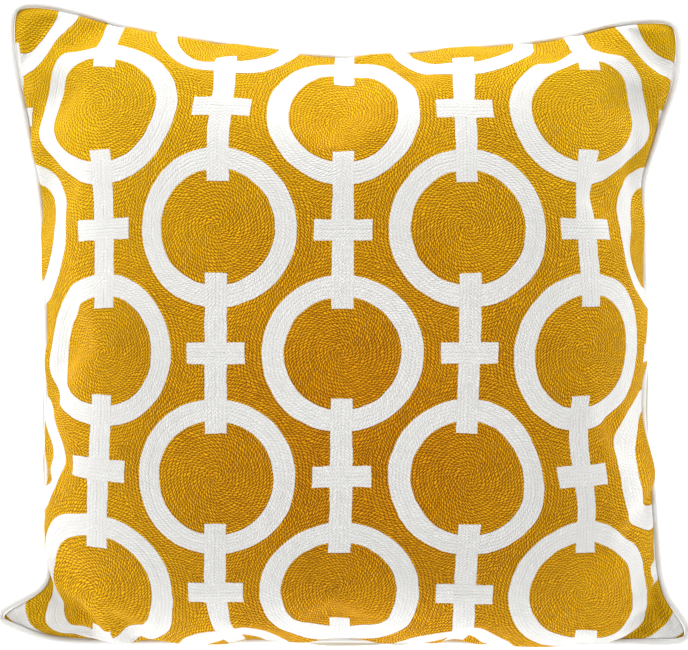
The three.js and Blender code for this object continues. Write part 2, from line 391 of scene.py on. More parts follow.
def cloth_movement():
    """Fills a coarse cover with cloth and returns how far its points move."""
    points, faces, _, _, seam = cover_mesh(COARSE_CELLS)
    piece = add_piece("cloth_trial", points, faces)
    resting = np.flatnonzero(points[:, 2] < FLOOR_CONTACT)
    pins = piece.vertex_groups.new(name="held")
    pins.add([int(i) for i in np.union1d(seam, resting)], 1.0, "REPLACE")

    cloth = piece.modifiers.new("cloth", "CLOTH")
    settings = cloth.settings
    settings.quality = 6
    settings.mass = 0.1
    settings.tension_stiffness = 20
    settings.compression_stiffness = 20
    settings.shear_stiffness = 5
    settings.bending_stiffness = 10
    settings.tension_damping = 1
    settings.compression_damping = 1
    settings.shear_damping = 1
    settings.shrink_min = -GROWTH
    settings.use_pressure = True
    settings.uniform_pressure_force = PRESSURE
    settings.effector_weights.gravity = 0
    settings.vertex_group_mass = "held"
    cloth.collision_settings.use_collision = False
    cloth.point_cache.frame_start = 1
    cloth.point_cache.frame_end = FRAMES
    for number in range(1, FRAMES + 1):
        scene.frame_set(number)
    graph = bpy.context.evaluated_depsgraph_get()
    movement = read_points(piece.evaluated_get(graph).data) - points
    scene.frame_set(1)
    bpy.data.objects.remove(piece)
    return movement


movement = cloth_movement()
if movement is not None:
    print("the cloth moved by up to", round(np.abs(movement).max() / MM, 1), "mm")

# %% [markdown]
# ## Keeping the ripples
# The grown cloth also stands higher as a whole, and its crown is known already.
# So only the ripples are kept: each place gives up the average movement of its
# neighbourhood. What is left is spread over the finer grid, fades out at the
# seam and at the floor, and is capped, so the outline stays.

# %% Add the ripples to the fine cover
NEIGHBOURHOOD = 6
MOST_MOVED = 8 * MM
SEAM_FADE = 0.06
FLOOR_FADE = 12 * MM


def average_near(table, reach):
    """A soft average of each cell's neighbours, out to about reach cells."""
    steps = np.arange(-3 * reach, 3 * reach + 1)
    weights = np.exp(-0.5 * (steps / reach) ** 2)
    weights /= weights.sum()
    for axis in (0, 1):
        cell = np.arange(table.shape[axis])
        near = np.clip(cell[:, None] + steps, 0, len(cell) - 1)
        shifted = [np.take(table, near[:, k], axis=axis) for k in range(len(steps))]
        table = sum(weight * part for weight, part in zip(weights, shifted))
    return table


def doubled(table):
    """Adds a value between each two rows, on a curve through four rows."""
    between = (table[:-1] + table[1:]) / 2
    between[1:-1] = (9 * (table[1:-2] + table[2:-1]) - table[:-3] - table[3:]) / 16
    result = np.empty((2 * len(table) - 1, *table.shape[1:]))
    result[::2] = table
    result[1::2] = between
    return result


def ripples(movement):
    """The ripples of the movement, for the points of the fine cover."""
    side = COARSE_CELLS + 1
    front = movement[: side**2].reshape(side, side, 3)
    back = np.zeros_like(front)
    back[1:-1, 1:-1] = movement[side**2 :].reshape(side - 2, side - 2, 3)
    fine = []
    for table in (front, back):
        left = table - average_near(table, NEIGHBOURHOOD)
        fine.append(doubled(doubled(left).swapaxes(0, 1)).swapaxes(0, 1))
    return np.concatenate([fine[0].reshape(-1, 3), fine[1][1:-1, 1:-1].reshape(-1, 3)])


if movement is not None:
    kept = ripples(movement)
    from_seam = 1 - np.abs(places).max(axis=1)
    loose = smooth(from_seam / SEAM_FADE) * smooth(points[:, 2] / FLOOR_FADE)
    kept = kept * loose[:, None]
    distance = np.maximum(np.linalg.norm(kept, axis=1), TINY)
    capped = MOST_MOVED * np.tanh(distance / MOST_MOVED)
    points = points + kept * (capped / distance)[:, None]
    points[:, 2] = np.maximum(points[:, 2], 0)
    write_points(cover.data, points)
    print("ripples kept: up to", round(capped.max() / MM, 1), "mm, mean", round(capped.mean() / MM, 2))

# %% [markdown]
# ## The folds that show
# A few folds are deeper than the simulation's ripples, because someone carried
# and set down this very cushion. Each is listed as a soft trough on the flat
# cloth: where it is, which way it runs, how long and wide it is, how deep it
# sinks, and how far it pushes the cloth aside.

# %% Press in the main folds
# x, y, long and wide are millimetres on the flat cloth, turn is in degrees
FOLDS = [
    {"x": -206, "y": 196, "turn": -52, "long": 46, "wide": 15, "push": (0, 0), "sink": 7},
    {"x": -226, "y": 128, "turn": 70, "long": 34, "wide": 13, "push": (2, 0), "sink": 4},
    {"x": 4, "y": 214, "turn": 80, "long": 26, "wide": 17, "push": (0, -4), "sink": 6},
    {"x": 206, "y": 204, "turn": 50, "long": 44, "wide": 14, "push": (0, 0), "sink": 6},
    {"x": 226, "y": 140, "turn": 105, "long": 32, "wide": 12, "push": (-2, 0), "sink": 4},
    {"x": -214, "y": -12, "turn": 75, "long": 34, "wide": 16, "push": (5, 0), "sink": 5},
    {"x": -212, "y": -176, "turn": 30, "long": 36, "wide": 13, "push": (3, 1), "sink": 6},
    {"x": 214, "y": -188, "turn": -40, "long": 40, "wide": 14, "push": (0, 0), "sink": 5},
]
FOLD_FADE = 24 * MM


def folded(values, flat):
    """Adds the folds to the points of the front, fading them out at the seam."""
    x, y = flat[:, 0] * HALF / MM, flat[:, 1] * HALF / MM
    rise = values[:, 2] - seam_level(flat[:, 0], flat[:, 1])
    loose = smooth(rise / FOLD_FADE)
    result = values.copy()
    for fold in FOLDS:
        turn = math.radians(fold["turn"])
        dx, dy = x - fold["x"], y - fold["y"]
        along = (dx * math.cos(turn) + dy * math.sin(turn)) / fold["long"]
        across = (dy * math.cos(turn) - dx * math.sin(turn)) / fold["wide"]
        weight = np.exp(-(along**2) - across**2) * loose * MM
        result[:, 0] += fold["push"][0] * weight
        result[:, 1] += fold["push"][1] * weight
        result[:, 2] -= fold["sink"] * weight
    return result


points = folded(points, places)
write_points(cover.data, points)

# %% [markdown]
# ## Where the pattern lies
# The stitches are drawn from each point's place on the flat cloth. A hand-worked
# panel is never quite true, though: while it is stitched, and again while it is
# sewn up and filled, its parts shift by a few millimetres. So the places are
# nudged here and there before they are kept.

# %% Nudge the pattern and keep its places
# x, y, wide and high are millimetres on the flat cloth; dx and dy are how far
# the pattern place is moved there
NUDGES = [
    {"x": -150, "y": 215, "wide": 90, "high": 70, "dx": 0, "dy": 10},
    {"x": 150, "y": 215, "wide": 90, "high": 70, "dx": 0, "dy": 10},
    {"x": 0, "y": 238, "wide": 45, "high": 45, "dx": 0, "dy": -13},
    {"x": -250, "y": 170, "wide": 45, "high": 60, "dx": 11, "dy": 0},
    {"x": 236, "y": 180, "wide": 60, "high": 60, "dx": -14, "dy": -4},
    {"x": -165, "y": 20, "wide": 34, "high": 115, "dx": -10, "dy": 0},
    {"x": -180, "y": 100, "wide": 50, "high": 60, "dx": -2, "dy": 4},
    {"x": -165, "y": -70, "wide": 50, "high": 45, "dx": 0, "dy": -4},
    {"x": -250, "y": -60, "wide": 36, "high": 110, "dx": 15, "dy": 0},
    {"x": 172, "y": 90, "wide": 45, "high": 40, "dx": 5, "dy": 2},
    {"x": 192, "y": -58, "wide": 72, "high": 75, "dx": 17, "dy": -2},
    {"x": 180, "y": -172, "wide": 80, "high": 34, "dx": 6, "dy": 0},
    {"x": 10, "y": -90, "wide": 80, "high": 50, "dx": 0, "dy": -3},
    {"x": 0, "y": -162, "wide": 150, "high": 34, "dx": 2, "dy": -10},
    {"x": 0, "y": -252, "wide": 220, "high": 30, "dx": 0, "dy": 21},
    # the four corners, where the cloth is pulled most
    {"x": -224, "y": 190, "wide": 24, "high": 24, "dx": -6, "dy": 5},
    {"x": -246, "y": 205, "wide": 26, "high": 24, "dx": -10, "dy": 0},
    {"x": -215, "y": 250, "wide": 28, "high": 28, "dx": -3, "dy": -2},
    {"x": 222, "y": 190, "wide": 26, "high": 26, "dx": 10, "dy": 0},
    {"x": 207, "y": 213, "wide": 24, "high": 24, "dx": 5, "dy": 3},
    {"x": 246, "y": 205, "wide": 26, "high": 26, "dx": 9, "dy": -2},
    {"x": 180, "y": 232, "wide": 30, "high": 30, "dx": 2, "dy": -5},
    {"x": 245, "y": 165, "wide": 26, "high": 26, "dx": -7, "dy": -2},
    {"x": -240, "y": -240, "wide": 60, "high": 60, "dx": 15, "dy": 14},
    {"x": -225, "y": -195, "wide": 45, "high": 45, "dx": 9, "dy": 20},
    {"x": -185, "y": -230, "wide": 36, "high": 36, "dx": 10, "dy": 3},
    {"x": 240, "y": -240, "wide": 60, "high": 60, "dx": -17, "dy": 18},
    {"x": 228, "y": -192, "wide": 38, "high": 38, "dx": 9, "dy": 12},
    {"x": 230, "y": -142, "wide": 38, "high": 38, "dx": -8, "dy": 11},
    # the right-hand edge
    {"x": 234, "y": -68, "wide": 36, "high": 42, "dx": -18, "dy": 3},
    {"x": 200, "y": -116, "wide": 30, "high": 30, "dx": 8, "dy": 2},
    {"x": 212, "y": 5, "wide": 32, "high": 36, "dx": 5, "dy": 2},
]


def pattern_place(flat):
    """Where each point of the flat cloth lies in the pattern, in millimetres."""
    x, y = flat[:, 0] * HALF / MM, flat[:, 1] * HALF / MM
    result = np.zeros((len(flat), 3))
    result[:, 0], result[:, 1] = x, y
    for nudge in NUDGES:
        away_x = (x - nudge["x"]) / nudge["wide"]
        away_y = (y - nudge["y"]) / nudge["high"]
        weight = np.exp(-(away_x**2) - away_y**2)
        result[:, 0] += nudge["dx"] * weight
        result[:, 1] += nudge["dy"] * weight
    return result


flat_place = cover.data.attributes.new("flat_mm", "FLOAT_VECTOR", "POINT")
flat_place.data.foreach_set("vector", pattern_place(places).astype(np.float32).ravel())
cover.data.polygons.foreach_set("material_index", is_back.astype(np.int32))
cover.data.polygons.foreach_set("use_smooth", np.ones(len(faces), bool))


def apply_subdivision(piece):
    modifier = piece.modifiers.new("finer", "SUBSURF")
    modifier.levels = 1
    graph = bpy.context.evaluated_depsgraph_get()
    finer = bpy.data.meshes.new_from_object(piece.evaluated_get(graph), depsgraph=graph)
    finer.name = piece.name
    piece.modifiers.remove(modifier)
    piece.data = finer


apply_subdivision(cover)
print("faces after subdivision:", len(cover.data.polygons))

# %% [markdown]
# ## The piping
# Piping is a soft cord wrapped in a strip of white cotton, cut on the bias so
# that it bends round the corners, and caught in the seam. It is one closed tube
# along the seam, with its own places along and around it for the weave.

# %% Make the piping
PIPING = 4.5 * MM
SUNK_IN = 0.3 * MM
STEPS_A_SIDE = 300
PIPING_SIDES = 20
PIPING_GRADING = 1.4
LOOK_ASIDE = 0.02
CORD_UNEVEN = 0.02
CORD_UNEVEN_OVER = 17 * MM


def seam_place(t):
    """The grid place of the seam, t sides along it, anticlockwise."""
    t = np.mod(t, 4)
    side = np.floor(t).astype(int) % 4
    along = 2 * (t - np.floor(t)) - 1
    along = along * (PIPING_GRADING - (PIPING_GRADING - 1) * along**2)
    one = np.ones_like(along)
    u = np.choose(side, [along, one, -along, -one])
    v = np.choose(side, [-one, along, one, -along])
    return u, v


def seam_points(t):
    """Where the seam runs in the filled cushion."""
    u, v = round_corner(*seam_place(t))
    x, y = plan(u, v)
    return np.stack([x, y, seam_level(u, v)], axis=-1)


def piping_mesh():
    """Points, faces, each face corner's place on the strip, and the length."""
    t = np.arange(4 * STEPS_A_SIDE) / STEPS_A_SIDE
    nudge = LOOK_ASIDE / STEPS_A_SIDE
    ahead, behind = seam_points(t + nudge), seam_points(t - nudge)
    forward = ahead - behind
    outward = np.stack([forward[:, 1], -forward[:, 0], np.zeros(len(t))], axis=-1)
    outward /= np.linalg.norm(outward, axis=1, keepdims=True)
    line = seam_points(t) + outward * (PIPING / 2 - SUNK_IN)
    length = np.linalg.norm(np.roll(line, -1, axis=0) - line, axis=1)
    travelled = np.concatenate([[0], np.cumsum(length)])

    forward = np.roll(line, -1, axis=0) - np.roll(line, 1, axis=0)
    forward /= np.linalg.norm(forward, axis=1, keepdims=True)
    upward = np.cross(outward, forward)
    angle = 2 * math.pi * np.arange(PIPING_SIDES) / PIPING_SIDES
    radius = PIPING / 2 * (1 + CORD_UNEVEN * np.sin(travelled[:-1] / CORD_UNEVEN_OVER))
    ring = outward[:, None] * np.cos(angle)[:, None] + upward[:, None] * np.sin(angle)[:, None]
    tube = line[:, None] + ring * radius[:, None, None]

    count = len(t)
    i, j = np.meshgrid(np.arange(count), np.arange(PIPING_SIDES), indexing="ij")
    i2, j2 = (i + 1) % count, (j + 1) % PIPING_SIDES
    quads = np.stack(
        [i * PIPING_SIDES + j, i2 * PIPING_SIDES + j, i2 * PIPING_SIDES + j2, i * PIPING_SIDES + j2],
        axis=-1,
    ).reshape(-1, 4)
    around = PIPING * math.pi * np.arange(PIPING_SIDES + 1) / PIPING_SIDES
    places = np.stack(
        [
            np.stack([travelled[i], around[j]], axis=-1),
            np.stack([travelled[i + 1], around[j]], axis=-1),
            np.stack([travelled[i + 1], around[j + 1]], axis=-1),
            np.stack([travelled[i], around[j + 1]], axis=-1),
        ],
        axis=2,
    ).reshape(-1, 2)
    return tube.reshape(-1, 3), quads, places, travelled[-1]


tube_points, tube_faces, tube_places, piping_length = piping_mesh()
piping = add_piece("seam_piping", tube_points, tube_faces)
piping.data.polygons.foreach_set("use_smooth", np.ones(len(tube_faces), bool))
strip_place = piping.data.attributes.new("strip_mm", "FLOAT_VECTOR", "CORNER")
strip_values = np.zeros((len(tube_places), 3), np.float32)
strip_values[:, :2] = tube_places / MM
strip_place.data.foreach_set("vector", strip_values.ravel())
print("piping length in metres:", round(piping_length, 3), "faces:", len(tube_faces))

# %% [markdown]
# ## A shorthand for node trees
# The stitches are a formula: for each place on the cloth, which motif is here,
# which row of stitches, and how high the yarn stands. Written out in single
# Math nodes that is hard to read, so a small helper class makes the nodes from
# ordinary arithmetic. Every formula below ends up as plain shader nodes.

# %% Number wires
NOISE_DETAIL = 2.0


class Wire:
    """One number in a node tree. Arithmetic on it adds Math nodes."""

    def __init__(self, tree, socket):
        self.tree = tree
        self.socket = socket

    def math(self, operation, *others):
        node = self.tree.nodes.new("ShaderNodeMath")
        node.operation = operation
        for slot, value in enumerate((self, *others)):
            if isinstance(value, Wire):
                self.tree.links.new(value.socket, node.inputs[slot])
            else:
                node.inputs[slot].default_value = value
        return Wire(self.tree, node.outputs[0])

    def __add__(self, other):
        return self.math("ADD", other)

    def __sub__(self, other):
        return self.math("SUBTRACT", other)

    def __mul__(self, other):
        return self.math("MULTIPLY", other)

    def __truediv__(self, other):
        return self.math("DIVIDE", other)

    def __rsub__(self, other):
        return (self * -1) + other

    def __lt__(self, other):
        return self.math("LESS_THAN", other)

    def __gt__(self, other):
        return self.math("GREATER_THAN", other)

    __radd__ = __add__

    def abs(self):
        return self.math("ABSOLUTE")

    def floor(self):
        return self.math("FLOOR")

    def least(self, other):
        return self.math("MINIMUM", other)

    def most(self, other):
        return self.math("MAXIMUM", other)

    def blend(self, other, share):
        """This value where share is 0, the other where it is 1."""
        return self + (other - self) * share

    def ramp(self, low, high):
        """0 at low, 1 at high, smooth between."""
        node = self.tree.nodes.new("ShaderNodeMapRange")
        node.interpolation_type = "SMOOTHSTEP"
        self.tree.links.new(self.socket, node.inputs["Value"])
        node.inputs["From Min"].default_value = low
        node.inputs["From Max"].default_value = high
        return Wire(self.tree, node.outputs["Result"])


def length_of(x, y):
    return (x * x + y * y).math("SQRT")


def new_group(name, inputs, outputs):
    """An empty node group: its wires in, and a function that sets an output."""
    tree = bpy.data.node_groups.new(name, "ShaderNodeTree")
    for label, kind, value in inputs:
        socket = tree.interface.new_socket(label, in_out="INPUT", socket_type=kind)
        if value is not None:
            socket.default_value = value
    for label, kind in outputs:
        tree.interface.new_socket(label, in_out="OUTPUT", socket_type=kind)
    start = tree.nodes.new("NodeGroupInput")
    end = tree.nodes.new("NodeGroupOutput")
    wires = {label: Wire(tree, start.outputs[label]) for label, _, _ in inputs}

    def put(label, wire):
        tree.links.new(wire.socket, end.inputs[label])

    return tree, wires, put


def parts_of(place):
    """The x and y of a vector wire."""
    node = place.tree.nodes.new("ShaderNodeSeparateXYZ")
    place.tree.links.new(place.socket, node.inputs[0])
    return Wire(place.tree, node.outputs[0]), Wire(place.tree, node.outputs[1])


def join(x, y, z=None):
    """A vector wire from number wires."""
    node = x.tree.nodes.new("ShaderNodeCombineXYZ")
    for slot, wire in enumerate((x, y, z)):
        if wire is not None:
            x.tree.links.new(wire.socket, node.inputs[slot])
    return Wire(x.tree, node.outputs[0])


def noise(place, size):
    """Soft noise from 0 to 1 whose lumps are about size across."""
    node = place.tree.nodes.new("ShaderNodeTexNoise")
    place.tree.links.new(place.socket, node.inputs["Vector"])
    node.inputs["Scale"].default_value = 1 / size
    node.inputs["Detail"].default_value = NOISE_DETAIL
    return Wire(place.tree, node.outputs["Fac"])


def chance(place):
    """A random number from 0 to 1 for each vector."""
    node = place.tree.nodes.new("ShaderNodeTexWhiteNoise")
    place.tree.links.new(place.socket, node.inputs["Vector"])
    return Wire(place.tree, node.outputs["Value"])


# %% [markdown]
# ## The pattern of rings and bars
# The pattern is a common lattice: columns of rings, each joined to the next by a
# bar with a short cross piece, and every other column dropped by half a repeat.
# It folds onto one small cell, so a few distances describe all of it. The group
# says where the white is and how the rows of stitches run there: round and round
# in the rings and in the ground beside them, straight along the bars.

# %% The lattice group
# sizes are millimetres on the flat cloth
PITCH = 85.9
RING_OUTSIDE = 54.7
RING_INSIDE = 39.7
BAR_HALF = 7.5
BAR_INTO_RING = 8.6
CROSS_HALF_LONG = 19.8
CROSS_HALF_HIGH = 7.25
LAST_CROSS = 245
ROWS_IN_BAND = 6
ROWS_IN_HALF_BAR = 3
ROWS_IN_DISC = 17
GROUND_ROW = 2.4
STITCH = 2.3
FURROW_FLAT, FURROW_EDGE = 0.2, 0.9


def lattice_group():
    tree, wires, put = new_group(
        "ring lattice",
        [("Place", "NodeSocketVector", None)],
        [
            ("White", "NodeSocketFloat"),
            ("Row", "NodeSocketFloat"),
            ("Along", "NodeSocketFloat"),
            ("Groove", "NodeSocketFloat"),
        ],
    )
    x, y = parts_of(wires["Place"])

    # fold the cloth onto one column, then onto one repeat of that column
    column = (x / PITCH + 0.5).floor()
    near_x = x - column * PITCH
    dropped = y - column.math("FLOORED_MODULO", 2.0) * PITCH
    near_y = dropped - (dropped / (2 * PITCH) + 0.5).floor() * (2 * PITCH)

    # the nearest ring is the column's own one or one of the next column's
    side_x, side_y = near_x.math("SIGN"), near_y.math("SIGN")
    own = length_of(near_x, near_y)
    other = length_of(near_x.abs() - PITCH, near_y.abs() - PITCH)
    is_other = other < own
    ring_x = near_x - side_x * PITCH * is_other
    ring_y = near_y - side_y * PITCH * is_other
    away = own.least(other)

    # rows: out from the band's inner edge, in from it, or out from its outer one;
    # the yellow is filled by one row that winds, so it gains a row each turn
    turn = ring_y.math("ARCTAN2", ring_x) / (2 * math.pi)
    in_disc = away < RING_INSIDE
    in_ground = away > RING_OUTSIDE
    band_width = (RING_OUTSIDE - RING_INSIDE) / ROWS_IN_BAND
    disc_width = RING_INSIDE / ROWS_IN_DISC
    band_row = (away - RING_INSIDE) / band_width
    disc_row = (RING_INSIDE - away) / disc_width + turn
    ground_row = (away - RING_OUTSIDE) / GROUND_ROW + turn
    row = band_row.blend(disc_row, in_disc).blend(ground_row, in_ground)

    # each round row holds a whole number of stitches
    band_middle = (band_row.floor() + 0.5) * band_width + RING_INSIDE
    disc_middle = RING_INSIDE - (disc_row.floor() + 0.5) * disc_width
    ground_middle = (ground_row.floor() + 0.5) * GROUND_ROW + RING_OUTSIDE
    middle = band_middle.blend(disc_middle, in_disc).blend(ground_middle, in_ground)
    stitches = (middle * (2 * math.pi / STITCH) + 0.5).floor()
    along = turn * stitches

    # the bars and the cross pieces lie over the rings
    from_cross = near_y.abs() * -1 + PITCH
    in_bar = (near_x.abs() < BAR_HALF) * (near_y.abs() > RING_INSIDE - BAR_INTO_RING)
    in_cross = (near_x.abs() < CROSS_HALF_LONG) * (from_cross < CROSS_HALF_HIGH)
    in_cross = in_cross * (y.abs() < LAST_CROSS)
    row = row.blend(near_x.abs() / (BAR_HALF / ROWS_IN_HALF_BAR), in_bar)
    row = row.blend(from_cross / (CROSS_HALF_HIGH / ROWS_IN_HALF_BAR), in_cross)
    along = along.blend(y / STITCH, in_bar).blend(x / STITCH, in_cross)
    in_band = (1 - in_disc) * (1 - in_ground)
    white = in_band.most(in_bar).most(in_cross)

    # the needle leaves a fine furrow down the middle of each white band
    band_furrow = (away - (RING_INSIDE + RING_OUTSIDE) / 2).abs()
    furrow = band_furrow.blend(near_x.abs(), in_bar).blend(from_cross, in_cross)
    groove = (1 - furrow.ramp(FURROW_FLAT, FURROW_EDGE)) * white

    put("White", white)
    put("Row", row)
    put("Along", along)
    put("Groove", groove)
    return tree


ring_lattice = lattice_group()
print("nodes in the lattice group:", len(ring_lattice.nodes))

# %% [markdown]
# ## One chain stitch
# A chain stitch is a loop of yarn that comes up inside the loop before it. A row
# of them looks like a plait of small V shapes, with a dark pinhole where each
# loop closes. In fast hand work the loops lean, so one leg of the V is long and
# slants over most of the row, and side by side such rows seem to swirl. The group
# turns a row number and a distance along the row into the height of the yarn and
# into how deep in shade it lies.

# %% The chain stitch group
# across a row goes from -1 to 1, along it in stitches, and height from 0 to 1
V_SLANT = 0.6
V_POINT = 0.6
LOOP_RISE = 0.7
ROW_TURNS_DOWN = 0.6
PINHOLE_REACH = 0.35
PINHOLE_DEPTH = 0.3
DARK_AT, LIGHT_AT = -0.15, 0.8


def chain_stitch_group():
    tree, wires, put = new_group(
        "chain stitch",
        [("Row", "NodeSocketFloat", 0.0), ("Along", "NodeSocketFloat", 0.0)],
        [
            ("Height", "NodeSocketFloat"),
            ("Light", "NodeSocketFloat"),
            ("Chance", "NodeSocketFloat"),
        ],
    )
    row, along = wires["Row"], wires["Along"]
    row_number = row.floor()
    across = (row - row_number - 0.5) * 2

    # each row starts at a place of its own, and its stitches lean
    leg = (across + V_POINT).abs()
    shifted = along + chance(join(row_number, row_number * 0.37)) + leg * V_SLANT
    stitch_number = shifted.floor()
    step = shifted - stitch_number

    lifted = ((step - 0.5).abs() * -2 + 1).ramp(0.0, LOOP_RISE)
    inside_row = 1 - across.abs().ramp(ROW_TURNS_DOWN, 1.0)
    pinhole = (1 - leg.ramp(0.0, PINHOLE_REACH)) * (1 - lifted)
    height = lifted * inside_row - pinhole * PINHOLE_DEPTH
    put("Height", height)
    put("Light", height.ramp(DARK_AT, LIGHT_AT))

    # one random number for each stitch, from its two numbers
    put("Chance", chance(join(stitch_number, row_number, stitch_number * 0.13 + 5.3)))
    return tree


chain_stitch = chain_stitch_group()

# %% [markdown]
# ## Plain woven cotton
# The back and the piping are plain weave: each thread passes over one and under
# the next. Two sets of rounded threads, each higher where it passes over, give
# the little checks of such a cloth.

# %% The plain weave group
THREAD_WOBBLE = 0.5
THREAD_WOBBLE_OVER = 5.0


def plain_weave_group():
    tree, wires, put = new_group(
        "plain weave",
        [("Place", "NodeSocketVector", None), ("Threads per mm", "NodeSocketFloat", 1.6)],
        [("Height", "NodeSocketFloat"), ("Light", "NodeSocketFloat")],
    )
    x, y = parts_of(wires["Place"])
    wobble = noise(wires["Place"], THREAD_WOBBLE_OVER) * THREAD_WOBBLE
    across = (x + wobble) * wires["Threads per mm"]
    upright = (y - wobble) * wires["Threads per mm"]
    warp = ((across * math.pi).math("SINE")).abs()
    weft = ((upright * math.pi).math("SINE")).abs()
    parity = (across.floor() + upright.floor()).math("FLOORED_MODULO", 2.0)
    over = (warp * 0.5 + weft * 0.5 * parity).most(weft * 0.5 + warp * 0.5 * (1 - parity))
    slub = noise(join(across * 0.05, upright * 1.0), 1.0)
    height = over * (0.8 + slub * 0.4)
    put("Height", height)
    put("Light", height.ramp(0.0, 0.9))
    return tree


plain_weave = plain_weave_group()
print("nodes in the stitch and weave groups:", len(chain_stitch.nodes), len(plain_weave.nodes))

# %% [markdown]
# ## What every material needs
# Each material is one Principled shader. The helpers here make it, fetch a
# point's place on the cloth from the mesh, put a group to use, mix two colours
# and turn a height into relief. The relief of thread is far finer than the mesh,
# so it goes to a Bump node, which tilts the shading and leaves the surface flat.

# %% Material helpers
# thread is rough, and a little smoother where it stands up and is rubbed
ROUGH = 0.95
WORN_SMOOTHER = 0.1


def new_material(name):
    """A material with one Principled shader, its node tree and that shader."""
    material = bpy.data.materials.new(name)
    material.use_nodes = True
    tree = material.node_tree
    tree.nodes.clear()
    shader = tree.nodes.new("ShaderNodeBsdfPrincipled")
    out = tree.nodes.new("ShaderNodeOutputMaterial")
    tree.links.new(shader.outputs[0], out.inputs[0])
    return material, tree, shader


def attribute_place(tree, name):
    node = tree.nodes.new("ShaderNodeAttribute")
    node.attribute_name = name
    return Wire(tree, node.outputs["Vector"])


def use_group(tree, group, **inputs):
    """Places a group and returns its outputs by name."""
    node = tree.nodes.new("ShaderNodeGroup")
    node.node_tree = group
    for label, value in inputs.items():
        socket = node.inputs[label.replace("_", " ")]
        if isinstance(value, Wire):
            tree.links.new(value.socket, socket)
        else:
            socket.default_value = value
    return {out.name: Wire(tree, out) for out in node.outputs}


def mix_colour(tree, share, first, second):
    node = tree.nodes.new("ShaderNodeMix")
    node.data_type = "RGBA"
    tree.links.new(share.socket, node.inputs[0])
    for slot, colour in ((6, first), (7, second)):
        if isinstance(colour, Wire):
            tree.links.new(colour.socket, node.inputs[slot])
        else:
            node.inputs[slot].default_value = (*colour, 1)
    return Wire(tree, node.outputs[2])


def add_bump(tree, shader, height, depth):
    """Feeds a height of about 0 to 1, depth metres high, to the shader."""
    node = tree.nodes.new("ShaderNodeBump")
    node.inputs["Distance"].default_value = depth
    tree.links.new(height.socket, node.inputs["Height"])
    tree.links.new(node.outputs["Normal"], shader.inputs["Normal"])


# %% [markdown]
# ## The embroidered face
# The embroidery's colour comes in steps: the yarn's own colour, a deep mustard;
# a painted light that turns the yellow lighter and yellower towards the edges,
# where the low lamps light the sloping cloth most, and a painted shade that turns
# the white a little darker there; a bit lighter or darker for each stitch and
# softly over the whole panel; and a darker tone deep between the strands, where
# hardly any light gets in. The white yarn lies flatter than the yellow. The faint
# sheen of yarn is set on the shader itself.
# No row is worked quite straight by hand, so soft noise shifts the motifs' edges,
# the rows and the stitches a little.

# %% The embroidered face
YELLOW = (0.92, 0.4, 0.001)
# painted light: the yellow lighter and yellower, as the low lamps light it at the edges
YELLOW_PAINTED_LIT = (1.0, 0.61, 0.006)
YELLOW_DEEP = (0.3, 0.075, 0.0)
WHITE = (0.94, 0.935, 0.92)
# painted shade: the white a little darker towards the edges, where the lamps light it most
WHITE_PAINTED_DARKER = (0.79, 0.78, 0.76)
WHITE_DEEP = (0.74, 0.73, 0.7)
STITCH_DEPTH = 0.9 * MM
WHITE_RELIEF = 0.36
GROOVE_DEPTH = 0.5

# painted edge light: the place it grows away from, the distances in millimetres
# on the flat cloth where it starts and where it is full, and how much it lightens
# the shade between the yellow stitches
EDGE_LIGHT_MIDDLE = (20, -60)
EDGE_LIGHT_FROM, EDGE_LIGHT_TO = 40, 300
EDGE_LIGHT_LIFT = 0.15

# how far the edges stray in millimetres, the rows in rows and the stitches in
# stitches, and how far the shade does, each with how wide its noise is
EDGE_WOBBLE, EDGE_WOBBLE_OVER = 2.0, 14.0
ROW_WOBBLE, ROW_WOBBLE_OVER = 1.4, 8.0
STITCH_WOBBLE, STITCH_WOBBLE_OVER = 1.6, 6.0
PATCHES, PATCHES_OVER = 0.3, 45.0


